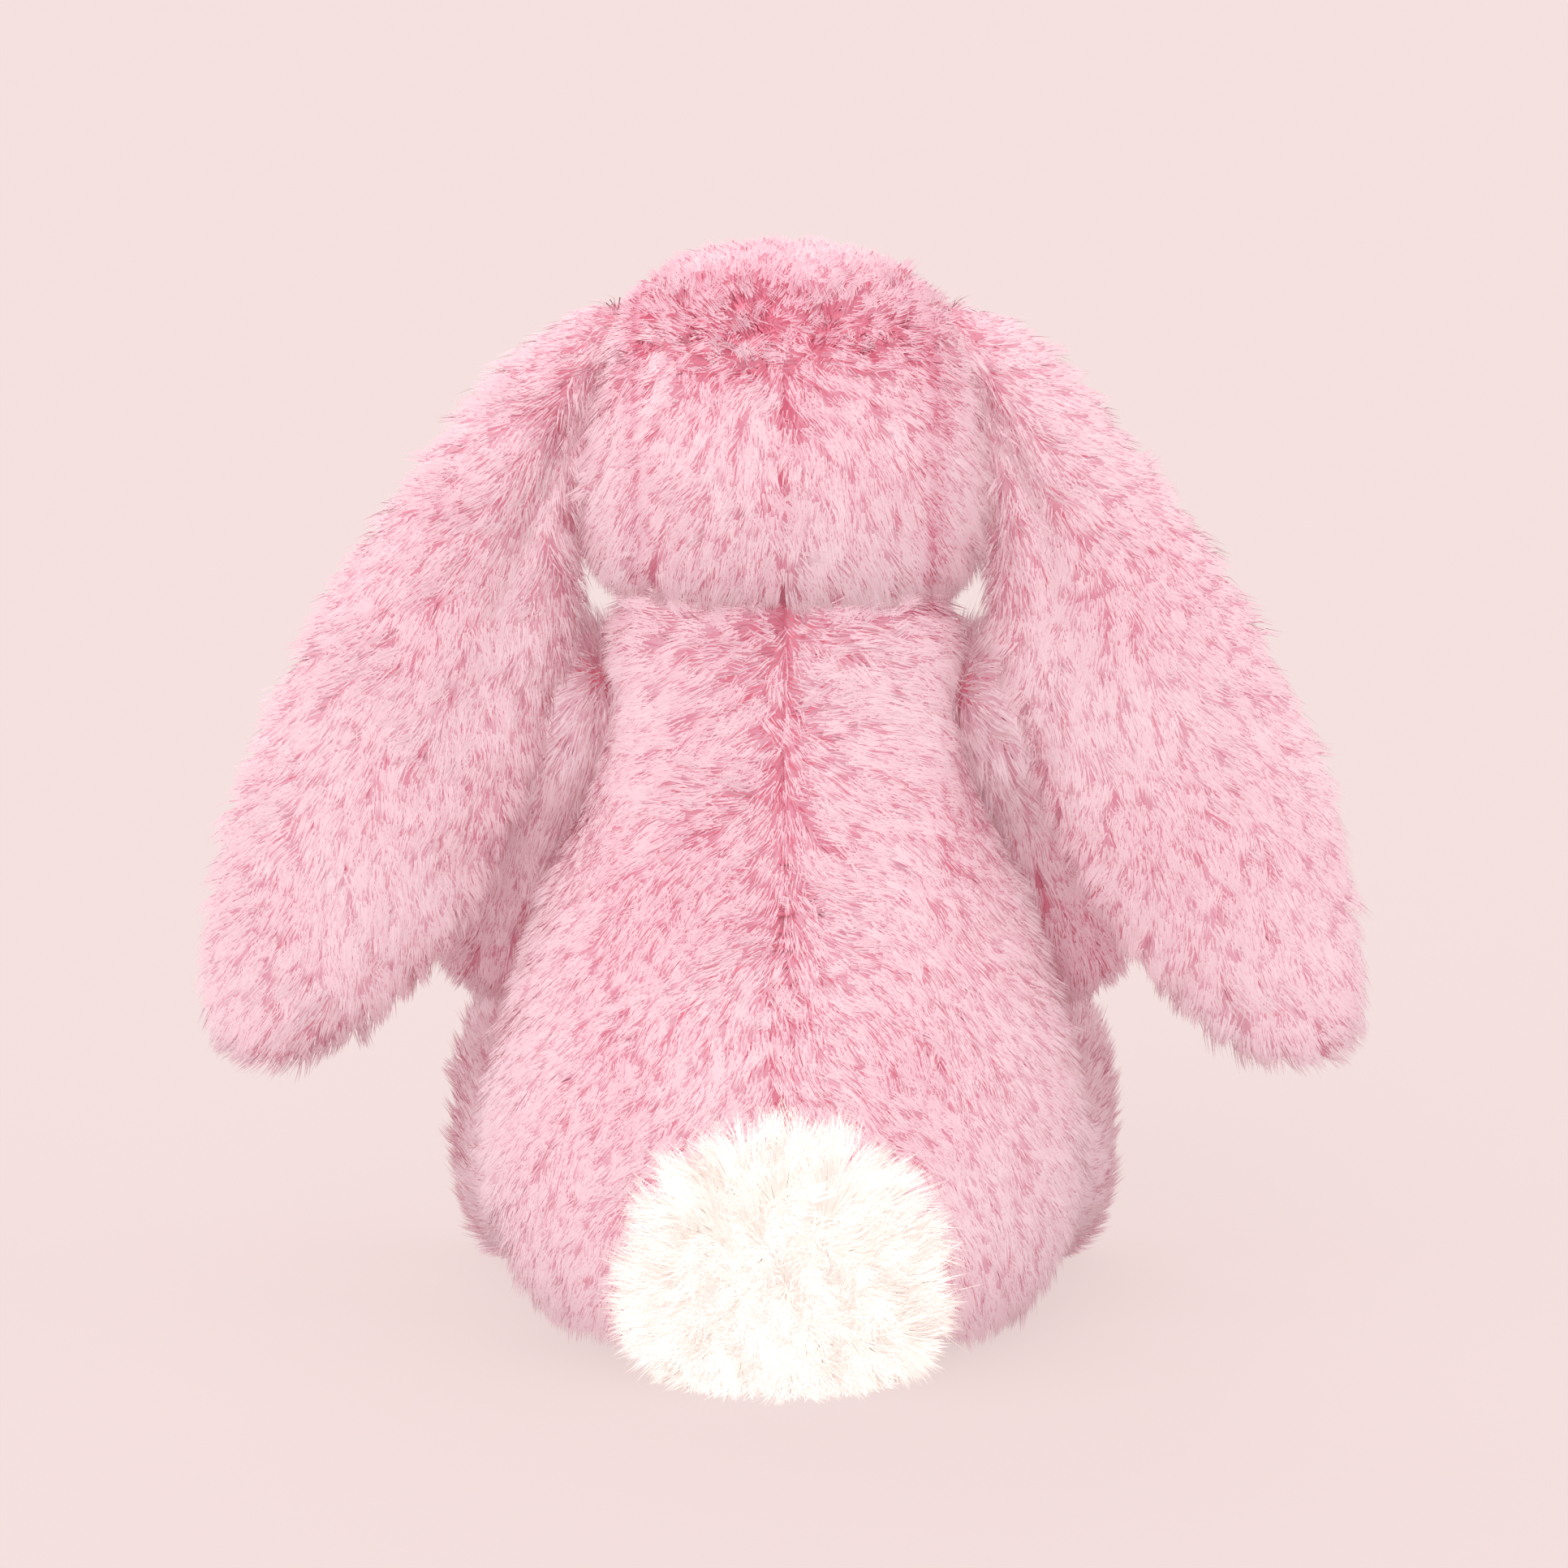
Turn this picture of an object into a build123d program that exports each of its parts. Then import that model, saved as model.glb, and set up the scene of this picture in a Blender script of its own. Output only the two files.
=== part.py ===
from build123d import *
import os

# A sitting lop-eared plush rabbit: sewn panels around stuffed cores, in millimetres.
# +Z is up, the rabbit faces -Y and its own left side is +X. The origin is on the surface that
# it sits on, under the middle of its seat.

os.makedirs("parts", exist_ok=True)

LEFT = 1
RIGHT = -1

# Fabric, filling and running gaps
FABRIC = 4.0  # plush backing with its pile pressed down
SLACK = 0.2  # between the fabric and the filling inside it
JOINT_GAP = 0.4  # between a round root and the pocket that it turns in
HIP_GAP = 1.2  # wider, so that the thigh clears the pocket's rim as the leg swings down
FAR = 300.0  # bigger than the whole toy, for cutting planes

# Torso: level ellipses as (height, half width, half depth), with a flat seat
TORSO_RINGS = (
    (0.0, 33.0, 30.0),
    (3.0, 41.0, 34.5),
    (12.0, 49.0, 39.0),
    (36.0, 53.0, 41.0),
    (66.0, 46.5, 37.0),
    (94.0, 36.5, 31.5),
    (116.0, 29.0, 26.5),
    (126.0, 24.0, 22.5),
)
SEAT_TOP = 9.0  # the seat panel's seam
BELLY_SEAM_Y = -2.0  # the side seams, where belly meets back
NECK = (0.0, -1.0, 126.0)  # the nod pivot
NECK_RADIUS = 21.0

# Head
HEAD_CENTRE = (0.0, -4.0, 168.5)
HEAD_RADII = (34.5, 36.5, 30.0)
MUZZLE_CENTRE = (0.0, -33.0, 158.0)
MUZZLE_RADII = (17.0, 14.0, 13.0)
GUSSET_X = 22.0  # the seams that run over the head on each side of its middle
CROWN_SEAM_Y = -2.0

# Face: safety eyes with washers, a stitched nose and mouth
EYE_X = 27.0
EYE_Z = 170.0
EYE_RADIUS = 4.5
EYE_POST_RADIUS = 1.5
EYE_POST_DEPTH = 6.6
POST_GAP = 0.1
WASHER_RADIUS = 5.5
WASHER_THICK = 1.2
WASHER_DEPTH = 6.0  # from the fabric's surface to the washer's inner face
WASHER_ROOM = 0.3
NOSE_CENTRE = (0.0, -45.5, 162.0)
NOSE_RADII = (5.0, 3.5, 3.2)
THREAD_RADIUS = 0.6
MOUTH_TOP_Z = 158.2
MOUTH_FORK_Z = 154.5
MOUTH_END = (6.5, 151.5)  # x and z of each end of the mouth line

# Ears: outline points as (x, z) around the leaf, from the root's upper side to its inner side
EAR_OUTLINE = (
    (37.0, 190.3),
    (47.5, 178.0),
    (63.0, 158.5),
    (80.0, 134.0),
    (92.5, 108.5),
    (99.5, 88.0),
    (103.0, 68.5),
    (102.5, 58.0),
    (96.5, 53.0),
    (86.5, 53.0),
    (80.0, 58.5),
    (71.0, 67.5),
    (63.0, 76.0),
    (52.5, 94.5),
    (44.5, 126.0),
    (41.5, 144.0),
    (41.0, 160.0),
    (38.5, 171.0),
    (36.0, 176.6),
)
EAR_ROOT = (33.5, 184.0)  # x and z of the lift pivot
EAR_ROOT_RADIUS = 8.0
EAR_BACK_Y = 11.0
EAR_FRONT_Y = 0.0
EAR_BACK_THICK = 4.5
EAR_LINING_THICK = 3.0
EAR_HEM = 4.0  # the seam allowance around the batting
EAR_SCALE_ABOUT = (72.0, 112.0)

# Arms: a round root and a tapered body along the arm's own axis, as (distance, radius)
SHOULDER = (40.0, -10.5, 113.0)
ARM_ROOT_RADIUS = 10.5
ARM_END = (53.0, -33.0, 65.0)
ARM_RINGS = ((14.0, 9.8), (34.0, 10.0), (50.0, 10.6))
ARM_LENGTH = 65.0

# Legs: a round root and thigh, then an upright foot with its sole facing forward
HIP = (33.0, -33.0, 19.0)
LEG_ROOT_RADIUS = 12.5
LEG_END = (45.0, -66.0, 17.5)
LEG_RINGS = ((14.0, 12.6), (28.0, 13.2))
LEG_LENGTH = 42.0
FOOT_CENTRE = (46.0, -68.0, 27.0)
FOOT_RADII = (15.0, 11.5, 27.0)
SOLE_Y = -74.5  # the seam around the sole
LEG_SEAM_X = 41.0  # the seam along the top of the leg

# Tail: a stuffed pompom squashed flat on the surface
TAIL_CENTRE = (0.0, 43.0, 16.0)
TAIL_RADII = (27.0, 18.5, 30.0)
TAIL_COVER = 3.0

# Pellets in the seat, in a pouch of their own
POUCH_CENTRE = (0.0, 0.0, 19.0)
POUCH_RADII = (34.0, 26.0, 12.5)
POUCH_CLOTH = 1.0

# Closing stitches on the back
STITCH_RADIUS = 0.6
STITCH_LENGTH = 4.0
STITCH_HEIGHTS = (70.0, 74.0, 78.0, 82.0, 86.0, 90.0)


def keep(low, high):
    """Keep only what lies between two corners, in the part that is being built."""
    size = [high[i] - low[i] for i in range(3)]
    middle = [(high[i] + low[i]) / 2 for i in range(3)]
    with Locations(tuple(middle)):
        Box(*size, mode=Mode.INTERSECT)


def ellipsoid(radii):
    """A ball stretched to three half axes, around the origin."""
    with BuildPart() as ball:
        Sphere(1)
        scale(by=tuple(radii), mode=Mode.REPLACE)
    return ball.part


def torso_form(inset):
    """Seat to neck, drawn in by an inset all round."""
    top = TORSO_RINGS[-1][0]
    squeeze = (top - 2 * inset) / top
    with BuildPart() as form:
        for height, half_width, half_depth in TORSO_RINGS:
            with BuildSketch(Plane.XY.offset(inset + height * squeeze)):
                Ellipse(half_width - inset, half_depth - inset)
        loft()
        with Locations(NECK):
            Sphere(NECK_RADIUS - inset)
    return form.part


def head_form(inset):
    """Head and muzzle, hollowed below for the neck, drawn in by an inset all round."""
    skull = ellipsoid([radius - inset for radius in HEAD_RADII])
    muzzle = ellipsoid([radius - inset for radius in MUZZLE_RADII])
    with BuildPart() as form:
        with Locations(HEAD_CENTRE):
            add(skull)
        with Locations(MUZZLE_CENTRE):
            add(muzzle)
        with Locations(NECK):
            Sphere(NECK_RADIUS + JOINT_GAP + inset, mode=Mode.SUBTRACT)
        for sign in (LEFT, RIGHT):
            with Locations(ear_pivot(sign)):
                Cylinder(
                    EAR_ROOT_RADIUS + JOINT_GAP + inset,
                    EAR_BACK_Y - EAR_FRONT_Y + 2 * (JOINT_GAP + inset),
                    rotation=(90, 0, 0),
                    mode=Mode.SUBTRACT,
                )
    return form.part


def ear_pivot(sign):
    """The middle of an ear's root."""
    return (sign * EAR_ROOT[0], (EAR_BACK_Y + EAR_FRONT_Y) / 2, EAR_ROOT[1])


def limb_form(root_radius, rings, length, inset):
    """A round root and a swelling body along +X, with the root's centre at the origin."""
    ball = root_radius - inset
    sides = [(distance, radius - inset) for distance, radius in rings]
    with BuildPart() as form:
        with BuildSketch(Plane.XZ):
            with BuildLine():
                CenterArc((0, 0), ball, 90, 90)
                Spline(
                    (0, ball),
                    *sides,
                    (length - inset, 0),
                    tangents=((1, 0), (0, -1)),
                )
                Line((length - inset, 0), (-ball, 0))
            make_face()
        revolve(axis=Axis.X)
    return form.part


def limb_place(root, end):
    """Where a limb made along +X goes on the right, given as its mirror on the left."""
    start = Vector(-root[0], root[1], root[2])
    along = Vector(-end[0], end[1], end[2]) - start
    return Plane(origin=start, x_dir=along, z_dir=Vector(1, 0, 0).cross(along)).location


def arm_form(inset):
    """The right arm, drawn in by an inset all round."""
    limb = limb_form(ARM_ROOT_RADIUS, ARM_RINGS, ARM_LENGTH, inset)
    with BuildPart() as form:
        with Locations(limb_place(SHOULDER, ARM_END)):
            add(limb)
    return form.part


def leg_form(inset):
    """The right leg with its foot, drawn in by an inset all round."""
    limb = limb_form(LEG_ROOT_RADIUS, LEG_RINGS, LEG_LENGTH, inset)
    foot = ellipsoid([radius - inset for radius in FOOT_RADII])
    with BuildPart() as form:
        with Locations(limb_place(HIP, LEG_END)):
            add(limb)
        with Locations((-FOOT_CENTRE[0], FOOT_CENTRE[1], FOOT_CENTRE[2])):
            add(foot)
    return form.part


def ear_form(margin, front, back):
    """The right ear between two depths, its outline drawn in by a margin."""
    about_x, about_z = EAR_SCALE_ABOUT
    outline = []
    for x, z in EAR_OUTLINE:
        reach = Vector(x - about_x, z - about_z)
        drawn_in = reach * (1 - margin / reach.length)
        outline.append((-about_x - drawn_in.X, about_z + drawn_in.Y))
    with BuildPart() as form:
        with BuildSketch(Plane.XZ.offset(-back)):
            with BuildLine():
                leaf = Spline(*outline)
                Line(leaf @ 1, leaf @ 0)
            make_face()
        extrude(amount=back - front)
    return form.part


def ear_root(front, back):
    """The round root of the right ear, a short cylinder across the ear's thickness."""
    x, _, z = ear_pivot(RIGHT)
    with BuildPart() as form:
        with Locations((x, (front + back) / 2, z)):
            Cylinder(EAR_ROOT_RADIUS, back - front, rotation=(90, 0, 0))
    return form.part


def eye_place(sign):
    """On the head's surface, with +Z looking out of the head."""
    a, b, c = HEAD_RADII
    across = EYE_X / a
    up = (EYE_Z - HEAD_CENTRE[2]) / c
    ahead = (1 - across**2 - up**2) ** 0.5
    point = (sign * EYE_X, HEAD_CENTRE[1] - b * ahead, EYE_Z)
    outward = Vector(sign * across / a, -ahead / b, up / c)
    return Plane(origin=point, z_dir=outward).location


def muzzle_point(x, z):
    """On the front of the muzzle, a thread's radius proud of it."""
    a, b, c = MUZZLE_RADII
    ahead = (1 - (x / a) ** 2 - ((z - MUZZLE_CENTRE[2]) / c) ** 2) ** 0.5
    return (x, MUZZLE_CENTRE[1] - b * ahead - THREAD_RADIUS / 2, z)


def back_depth(height):
    """How far behind the origin the middle of the back lies at one height."""
    for low, high in zip(TORSO_RINGS, TORSO_RINGS[1:]):
        if low[0] <= height <= high[0]:
            share = (height - low[0]) / (high[0] - low[0])
            return low[2] + share * (high[2] - low[2])
    return TORSO_RINGS[-1][2]


def socket(centre, radius, gap):
    """Cut the pocket of a round root out of the part that is being built."""
    with Locations(centre):
        Sphere(radius + gap, mode=Mode.SUBTRACT)


def torso_sockets():
    """Cut the shoulder and hip pockets."""
    for sign in (LEFT, RIGHT):
        socket((sign * SHOULDER[0], SHOULDER[1], SHOULDER[2]), ARM_ROOT_RADIUS, JOINT_GAP)
        socket((sign * HIP[0], HIP[1], HIP[2]), LEG_ROOT_RADIUS, HIP_GAP)


def finish(piece, name):
    """Label a finished piece and write it."""
    piece.part.label = name
    export_step(piece.part, f"parts/{name}.step")


def both_sides(piece, name):
    """Write a piece made on the right, and its mirror image on the left."""
    finish(piece, f"{name}_right")
    with BuildPart() as mirrored:
        add(piece.part)
        mirror(about=Plane.YZ, mode=Mode.REPLACE)
    finish(mirrored, f"{name}_left")


# Torso panels
torso_outside = torso_form(0)
torso_inside = torso_form(FABRIC)
with BuildPart() as torso_shell:
    add(torso_outside)
    add(torso_inside, mode=Mode.SUBTRACT)
    torso_sockets()

TORSO_PANELS = (
    ("torso_back_left", (0, BELLY_SEAM_Y, SEAT_TOP), (FAR, FAR, FAR)),
    ("torso_back_right", (-FAR, BELLY_SEAM_Y, SEAT_TOP), (0, FAR, FAR)),
    ("torso_belly", (-FAR, -FAR, SEAT_TOP), (FAR, BELLY_SEAM_Y, FAR)),
    ("torso_seat", (-FAR, -FAR, -FAR), (FAR, FAR, SEAT_TOP)),
)
for panel_name, low_corner, high_corner in TORSO_PANELS:
    with BuildPart() as torso_panel:
        add(torso_shell.part)
        keep(low_corner, high_corner)
    finish(torso_panel, panel_name)

# Pellet pouch in the seat, then the filling around it
pouch_outside = ellipsoid(POUCH_RADII)
pouch_inside = ellipsoid([radius - POUCH_CLOTH for radius in POUCH_RADII])
pellets = ellipsoid([radius - POUCH_CLOTH - SLACK for radius in POUCH_RADII])
pouch_room = ellipsoid([radius + SLACK for radius in POUCH_RADII])
torso_filling = torso_form(FABRIC + SLACK)
with BuildPart() as pellet_pouch:
    with Locations(POUCH_CENTRE):
        add(pouch_outside)
        add(pouch_inside, mode=Mode.SUBTRACT)
finish(pellet_pouch, "pellet_pouch")
with BuildPart() as pellet_fill:
    with Locations(POUCH_CENTRE):
        add(pellets)
finish(pellet_fill, "pellet_fill")
with BuildPart() as torso_stuffing:
    add(torso_filling)
    with Locations(POUCH_CENTRE):
        add(pouch_room, mode=Mode.SUBTRACT)
    torso_sockets()
finish(torso_stuffing, "torso_stuffing")

# Tail
tail_outside = ellipsoid(TAIL_RADII)
tail_inside = ellipsoid([radius - TAIL_COVER for radius in TAIL_RADII])
tail_filling = ellipsoid([radius - TAIL_COVER - SLACK for radius in TAIL_RADII])
with BuildPart() as tail_cover:
    with Locations(TAIL_CENTRE):
        add(tail_outside)
        add(tail_inside, mode=Mode.SUBTRACT)
    with Locations((TAIL_CENTRE[0], TAIL_CENTRE[1], TAIL_COVER / 2)):
        add(ellipsoid((0.8 * TAIL_RADII[0], 0.8 * TAIL_RADII[1], TAIL_COVER)))
    keep((-FAR, -FAR, 0), (FAR, FAR, FAR))
    add(torso_outside, mode=Mode.SUBTRACT)
finish(tail_cover, "tail_cover")
with BuildPart() as tail_stuffing:
    with Locations(TAIL_CENTRE):
        add(tail_filling)
    add(torso_outside, mode=Mode.SUBTRACT)
    add(tail_cover.part, mode=Mode.SUBTRACT)
    keep((-FAR, -FAR, TAIL_COVER), (FAR, FAR, FAR))
finish(tail_stuffing, "tail_stuffing")

# Closing stitches across the seam at the middle of the back
with BuildPart() as closing_stitch:
    for height in STITCH_HEIGHTS:
        with Locations((0, back_depth(height), height)):
            Cylinder(STITCH_RADIUS, STITCH_LENGTH, rotation=(0, 90, 0))
    add(torso_outside, mode=Mode.SUBTRACT)
finish(closing_stitch, "closing_stitch")

# Head panels, with a post hole for each eye
head_outside = head_form(0)
head_inside = head_form(FABRIC)
head_filling = head_form(FABRIC + SLACK)
with BuildPart() as head_shell:
    add(head_outside)
    add(head_inside, mode=Mode.SUBTRACT)
    for sign in (LEFT, RIGHT):
        with Locations(eye_place(sign)):
            Cylinder(EYE_POST_RADIUS + POST_GAP, 2 * EYE_POST_DEPTH, mode=Mode.SUBTRACT)

HEAD_PANELS = (
    ("head_back_left", (0, CROWN_SEAM_Y, -FAR), (GUSSET_X, FAR, FAR)),
    ("head_back_right", (-GUSSET_X, CROWN_SEAM_Y, -FAR), (0, FAR, FAR)),
    ("head_side_left", (GUSSET_X, -FAR, -FAR), (FAR, FAR, FAR)),
    ("head_side_right", (-FAR, -FAR, -FAR), (-GUSSET_X, FAR, FAR)),
    ("head_face", (-GUSSET_X, -FAR, -FAR), (GUSSET_X, CROWN_SEAM_Y, FAR)),
)
for panel_name, low_corner, high_corner in HEAD_PANELS:
    with BuildPart() as head_panel:
        add(head_shell.part)
        keep(low_corner, high_corner)
    finish(head_panel, panel_name)

with BuildPart() as head_stuffing:
    add(head_filling)
    for sign in (LEFT, RIGHT):
        with Locations(eye_place(sign)):
            Cylinder(
                WASHER_RADIUS + WASHER_ROOM,
                2 * (EYE_POST_DEPTH + WASHER_ROOM),
                mode=Mode.SUBTRACT,
            )
finish(head_stuffing, "head_stuffing")

# Eyes and the washers that hold them from inside
with BuildPart() as eye:
    with Locations(eye_place(RIGHT)):
        Sphere(
            EYE_RADIUS,
            arc_size1=0,
            align=(Align.CENTER, Align.CENTER, Align.MIN),
        )
        Cylinder(
            EYE_POST_RADIUS,
            EYE_POST_DEPTH,
            align=(Align.CENTER, Align.CENTER, Align.MAX),
        )
both_sides(eye, "eye")
with BuildPart() as eye_washer:
    with Locations(eye_place(RIGHT) * Pos(0, 0, -WASHER_DEPTH)):
        Cylinder(
            WASHER_RADIUS,
            WASHER_THICK,
            align=(Align.CENTER, Align.CENTER, Align.MIN),
        )
        Cylinder(
            EYE_POST_RADIUS + POST_GAP,
            4 * WASHER_THICK,
            mode=Mode.SUBTRACT,
        )
both_sides(eye_washer, "eye_washer")

# Nose and mouth
with BuildPart() as nose:
    with Locations(NOSE_CENTRE):
        add(ellipsoid(NOSE_RADII))
    add(head_outside, mode=Mode.SUBTRACT)
finish(nose, "nose")
with BuildPart() as mouth_stitch:
    for ends in (
        ((0, MOUTH_TOP_Z), (0, MOUTH_FORK_Z)),
        ((0, MOUTH_FORK_Z), MOUTH_END),
        ((0, MOUTH_FORK_Z), (-MOUTH_END[0], MOUTH_END[1])),
    ):
        (start_x, start_z), (end_x, end_z) = ends
        middle = muzzle_point((start_x + end_x) / 2, (start_z + end_z) / 2)
        with BuildLine() as thread_path:
            Spline(muzzle_point(start_x, start_z), middle, muzzle_point(end_x, end_z))
        with BuildSketch(Plane(thread_path.line @ 0, z_dir=thread_path.line % 0)):
            Circle(THREAD_RADIUS)
        sweep(path=thread_path.line)
    add(head_outside, mode=Mode.SUBTRACT)
    add(nose.part, mode=Mode.SUBTRACT)
finish(mouth_stitch, "mouth_stitch")

# Ears: a plush back turned over the rim, a thin batting and a flat lining
hem_back = EAR_BACK_Y - EAR_BACK_THICK
ear_room = ear_form(EAR_HEM - SLACK, EAR_LINING_THICK, hem_back)
with BuildPart() as ear_back:
    add(ear_form(0, EAR_LINING_THICK, EAR_BACK_Y))
    add(ear_root(EAR_LINING_THICK, EAR_BACK_Y))
    add(ear_room, mode=Mode.SUBTRACT)
both_sides(ear_back, "ear_back")
with BuildPart() as ear_batting:
    add(ear_form(EAR_HEM, EAR_LINING_THICK + SLACK, hem_back - SLACK))
both_sides(ear_batting, "ear_batting")
with BuildPart() as ear_lining:
    add(ear_form(0, EAR_FRONT_Y, EAR_LINING_THICK))
    add(ear_root(EAR_FRONT_Y, EAR_LINING_THICK))
both_sides(ear_lining, "ear_lining")

# Arms: an outer and an inner panel around the filling
arm_outside = arm_form(0)
arm_inside = arm_form(FABRIC)
for face, half in (("outer", Align.MAX), ("inner", Align.MIN)):
    with BuildPart() as arm_panel:
        add(arm_outside)
        with Locations(limb_place(SHOULDER, ARM_END)):
            Box(
                FAR,
                FAR,
                FAR,
                align=(Align.CENTER, half, Align.CENTER),
                mode=Mode.INTERSECT,
            )
        add(arm_inside, mode=Mode.SUBTRACT)
    both_sides(arm_panel, f"arm_{face}")
with BuildPart() as arm_stuffing:
    add(arm_form(FABRIC + SLACK))
both_sides(arm_stuffing, "arm_stuffing")

# Legs: an outer and an inner panel, a sole on the front of the foot, and the filling
leg_outside = leg_form(0)
leg_inside = leg_form(FABRIC)
LEG_PANELS = (
    ("foot_sole", (-FAR, -FAR, -FAR), (0, SOLE_Y, FAR)),
    ("leg_outer", (-FAR, SOLE_Y, -FAR), (-LEG_SEAM_X, FAR, FAR)),
    ("leg_inner", (-LEG_SEAM_X, SOLE_Y, -FAR), (0, FAR, FAR)),
)
for panel_name, low_corner, high_corner in LEG_PANELS:
    with BuildPart() as leg_panel:
        add(leg_outside)
        keep(low_corner, high_corner)
        add(leg_inside, mode=Mode.SUBTRACT)
    both_sides(leg_panel, panel_name)
with BuildPart() as leg_stuffing:
    add(leg_form(FABRIC + SLACK))
both_sides(leg_stuffing, "leg_stuffing")
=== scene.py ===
import math

import bmesh
import bpy
import numpy as np
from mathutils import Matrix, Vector
from mathutils.kdtree import KDTree


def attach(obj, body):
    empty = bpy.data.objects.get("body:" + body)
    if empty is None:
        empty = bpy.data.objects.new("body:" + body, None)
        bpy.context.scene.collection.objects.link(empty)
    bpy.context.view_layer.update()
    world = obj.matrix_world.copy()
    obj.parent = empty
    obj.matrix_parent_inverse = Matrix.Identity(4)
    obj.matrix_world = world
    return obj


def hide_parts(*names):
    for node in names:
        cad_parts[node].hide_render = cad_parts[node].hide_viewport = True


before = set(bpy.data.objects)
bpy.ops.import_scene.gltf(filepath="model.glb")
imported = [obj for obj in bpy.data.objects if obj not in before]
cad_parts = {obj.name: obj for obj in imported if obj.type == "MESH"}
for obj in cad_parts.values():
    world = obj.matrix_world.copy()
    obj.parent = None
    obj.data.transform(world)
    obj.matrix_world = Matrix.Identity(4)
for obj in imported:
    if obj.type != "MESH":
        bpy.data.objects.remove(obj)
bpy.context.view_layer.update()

# A sitting lop-eared plush rabbit: +Z is up, it faces -Y and its own left is +X. It is a cut and
# sewn toy, so each stuffed part is one padded skin, cut along its seams into cloth panels, with
# a pile of single fibres on each. Lengths and places are millimetres, but for the camera's.

MM = 0.001
scene = bpy.context.scene
rng = np.random.default_rng(20)


# ---------------------------------------------------------------- small helpers


# Leans off the vertical, so that it is never in line with a swept path
NEARLY_UP = (0.05, 0.02, 1.0)


def unit(v):
    return v / np.maximum(np.linalg.norm(v, axis=-1, keepdims=True), 1e-9)


def smooth_noise(points, size, seed):
    """Soft noise from -1 to 1 at points, with features about size across: the sum of waves
    that cross each other, with shorter and weaker ones on top."""
    waves = np.random.default_rng(seed)
    total = np.zeros(len(points))
    for octave in range(3):
        for _ in range(5):
            way = unit(waves.normal(size=3)) * math.pi / size * 1.7**octave
            total += np.sin(points @ way + waves.uniform(0, 2 * math.pi)) * 0.6**octave
    usual_peak = 3.2
    return np.clip(total / usual_peak, -1, 1)


def new_object(name, points, faces, materials=()):
    """A mesh object from points in millimetres."""
    mesh = bpy.data.meshes.new(name)
    mesh.from_pydata((np.asarray(points) * MM).tolist(), [], faces)
    mesh.update()
    obj = bpy.data.objects.new(name, mesh)
    scene.collection.objects.link(obj)
    for material in materials:
        mesh.materials.append(material)
    return obj


def points_of(mesh):
    got = np.zeros(len(mesh.vertices) * 3, np.float32)
    mesh.vertices.foreach_get("co", got)
    return got.reshape(-1, 3).astype(float) / MM


def normals_of(mesh):
    got = np.zeros(len(mesh.vertices) * 3, np.float32)
    mesh.vertices.foreach_get("normal", got)
    return got.reshape(-1, 3).astype(float)


def set_points(mesh, points):
    mesh.vertices.foreach_set("co", (points * MM).astype(np.float32).ravel())
    mesh.update()


def apply_modifiers(obj):
    """Bake what the modifiers make into the mesh."""
    bpy.context.view_layer.update()
    shown = obj.evaluated_get(bpy.context.evaluated_depsgraph_get())
    made = bpy.data.meshes.new_from_object(shown)
    old = obj.data
    obj.modifiers.clear()
    obj.data = made
    bpy.data.meshes.remove(old)
    return obj


def ring_mesh(rings):
    """Points and faces of a closed tube through rings of points, its ends capped."""
    around = len(rings[0])
    points = np.concatenate(rings)
    faces = []
    for row in range(len(rings) - 1):
        a, b = row * around, (row + 1) * around
        for k in range(around):
            n = (k + 1) % around
            faces.append((a + k, a + n, b + n, b + k))
    faces.append(tuple(reversed(range(around))))
    faces.append(tuple(range(len(points) - around, len(points))))
    return points, faces


def smooth_rows(table, steps):
    """Rows of a table of numbers, filled in with a Catmull-Rom curve."""
    rows = np.array(table, float)
    padded = np.vstack([2 * rows[0] - rows[1], rows, 2 * rows[-1] - rows[-2]])
    out = []
    for i in range(1, len(rows)):
        a, b, c, d = padded[i - 1 : i + 3]
        for t in np.linspace(0, 1, steps, endpoint=False):
            square = (2 * a - 5 * b + 4 * c - d) * t**2
            cube = (3 * b - a - 3 * c + d) * t**3
            out.append(0.5 * (2 * b + (c - a) * t + square + cube))
    out.append(rows[-1])
    return np.array(out)


def level_rings(table, power=2.3, around=44, steps=3):
    """Closed form through level rings given as (height, half width, half depth, middle y).
    A power of 2 makes them ellipses, and a higher one makes them squarer."""
    turn = np.linspace(0, 2 * math.pi, around, endpoint=False)
    c, s = np.cos(turn), np.sin(turn)
    shape_x = np.sign(c) * np.abs(c) ** (2 / power)
    shape_y = np.sign(s) * np.abs(s) ** (2 / power)
    rings = []
    for z, a, b, y in smooth_rows(table, steps):
        rings.append(np.stack([a * shape_x, y + b * shape_y, np.full(around, z)], axis=1))
    return ring_mesh(rings)


def swept_rings(table, around=28, steps=3):
    """Closed form around a path given as (x, y, z, radius)."""
    rows = smooth_rows(table, steps)
    turn = np.linspace(0, 2 * math.pi, around, endpoint=False)
    rings = []
    for i, (x, y, z, radius) in enumerate(rows):
        along = unit(rows[min(i + 1, len(rows) - 1), :3] - rows[max(i - 1, 0), :3])
        side = unit(np.cross(along, NEARLY_UP))
        up = np.cross(side, along)
        sideways = radius * np.outer(np.cos(turn), side)
        rings.append(np.array((x, y, z)) + sideways + radius * np.outer(np.sin(turn), up))
    return ring_mesh(rings)


def joined(name, *forms):
    """One object from several closed forms."""
    points, faces, base = [], [], 0
    for form_points, form_faces in forms:
        points.append(form_points)
        faces += [tuple(i + base for i in face) for face in form_faces]
        base += len(form_points)
    obj = new_object(name, np.concatenate(points), faces)
    bm = bmesh.new()
    bm.from_mesh(obj.data)
    bmesh.ops.recalc_face_normals(bm, faces=bm.faces)
    bm.to_mesh(obj.data)
    bm.free()
    return obj


CLOTH_STEPS = 20


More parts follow.
